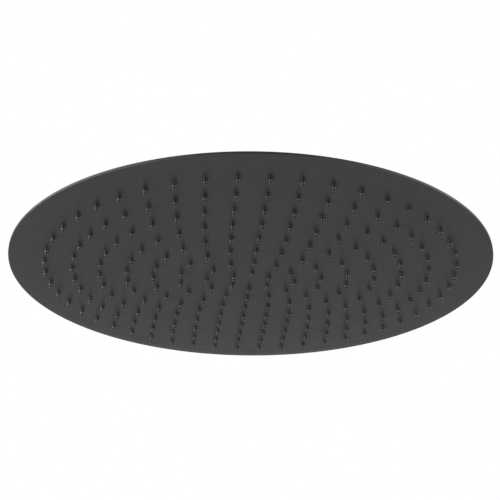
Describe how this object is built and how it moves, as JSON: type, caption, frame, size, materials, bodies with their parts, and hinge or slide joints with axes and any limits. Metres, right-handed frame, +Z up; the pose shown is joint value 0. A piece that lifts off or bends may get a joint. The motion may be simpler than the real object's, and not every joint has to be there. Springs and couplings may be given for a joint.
{
  "type": "round shower head",
  "caption": "Round slim overhead shower head: a welded steel disc with rings of rubber nozzles on a ball joint with a female pipe thread.",
  "frame": {"origin": "centre of the inlet thread, where its full wall begins just under the lead-in chamfer", "axes": "+Z up the supply pipe along the thread and the head's own axis, X and Y level and alike, the spray face looks along -Z"},
  "size_m": [0.3999, 0.4, 0.0701],
  "materials": {
    "black_steel": "matte black powder coat on stainless sheet",
    "black_brass": "matte black coat on turned brass",
    "silicone": "smooth glossy black silicone",
    "ball_chrome": "polished chrome on brass",
    "acetal": "natural acetal, turned",
    "seal_rubber": "matte black rubber",
    "screen_steel": "fine stainless screen",
    "restrictor_plastic": "green moulded plastic"
  },
  "bodies": {
    "inlet": {"inlet_fitting": "black_brass", "ball_stem": "ball_chrome", "inlet_washer": "seal_rubber", "filter_screen": "screen_steel", "flow_restrictor": "restrictor_plastic"},
    "glide": {"glide_ring": "acetal"},
    "seat": {"seat_ring": "acetal"},
    "head": {"face_plate": "black_steel", "back_plate": "black_steel", "nozzle_ring_1": "silicone", "nozzle_ring_2": "silicone", "nozzle_ring_3": "silicone", "nozzle_ring_4": "silicone", "nozzle_ring_5": "silicone", "nozzle_ring_6": "silicone", "nozzle_ring_7": "silicone", "nozzle_ring_8": "silicone", "socket_base": "black_brass", "collar_nut": "black_brass", "ball_seal": "seal_rubber"}
  },
  "joints": [
    {"name": "tilt_x", "type": "hinge", "parent": "inlet", "child": "glide", "pos_m": [0, 0, -0.038], "axis": [1, 0, 0], "range_deg": [-12, 12]},
    {"name": "tilt_y", "type": "hinge", "parent": "glide", "child": "seat", "pos_m": [0, 0, -0.038], "axis": [0, 1, 0], "range_deg": [-12, 12]},
    {"name": "spin", "type": "hinge", "parent": "seat", "child": "head", "pos_m": [0, 0, -0.038], "axis": [0, 0, 1], "continuous": true}
  ]
}
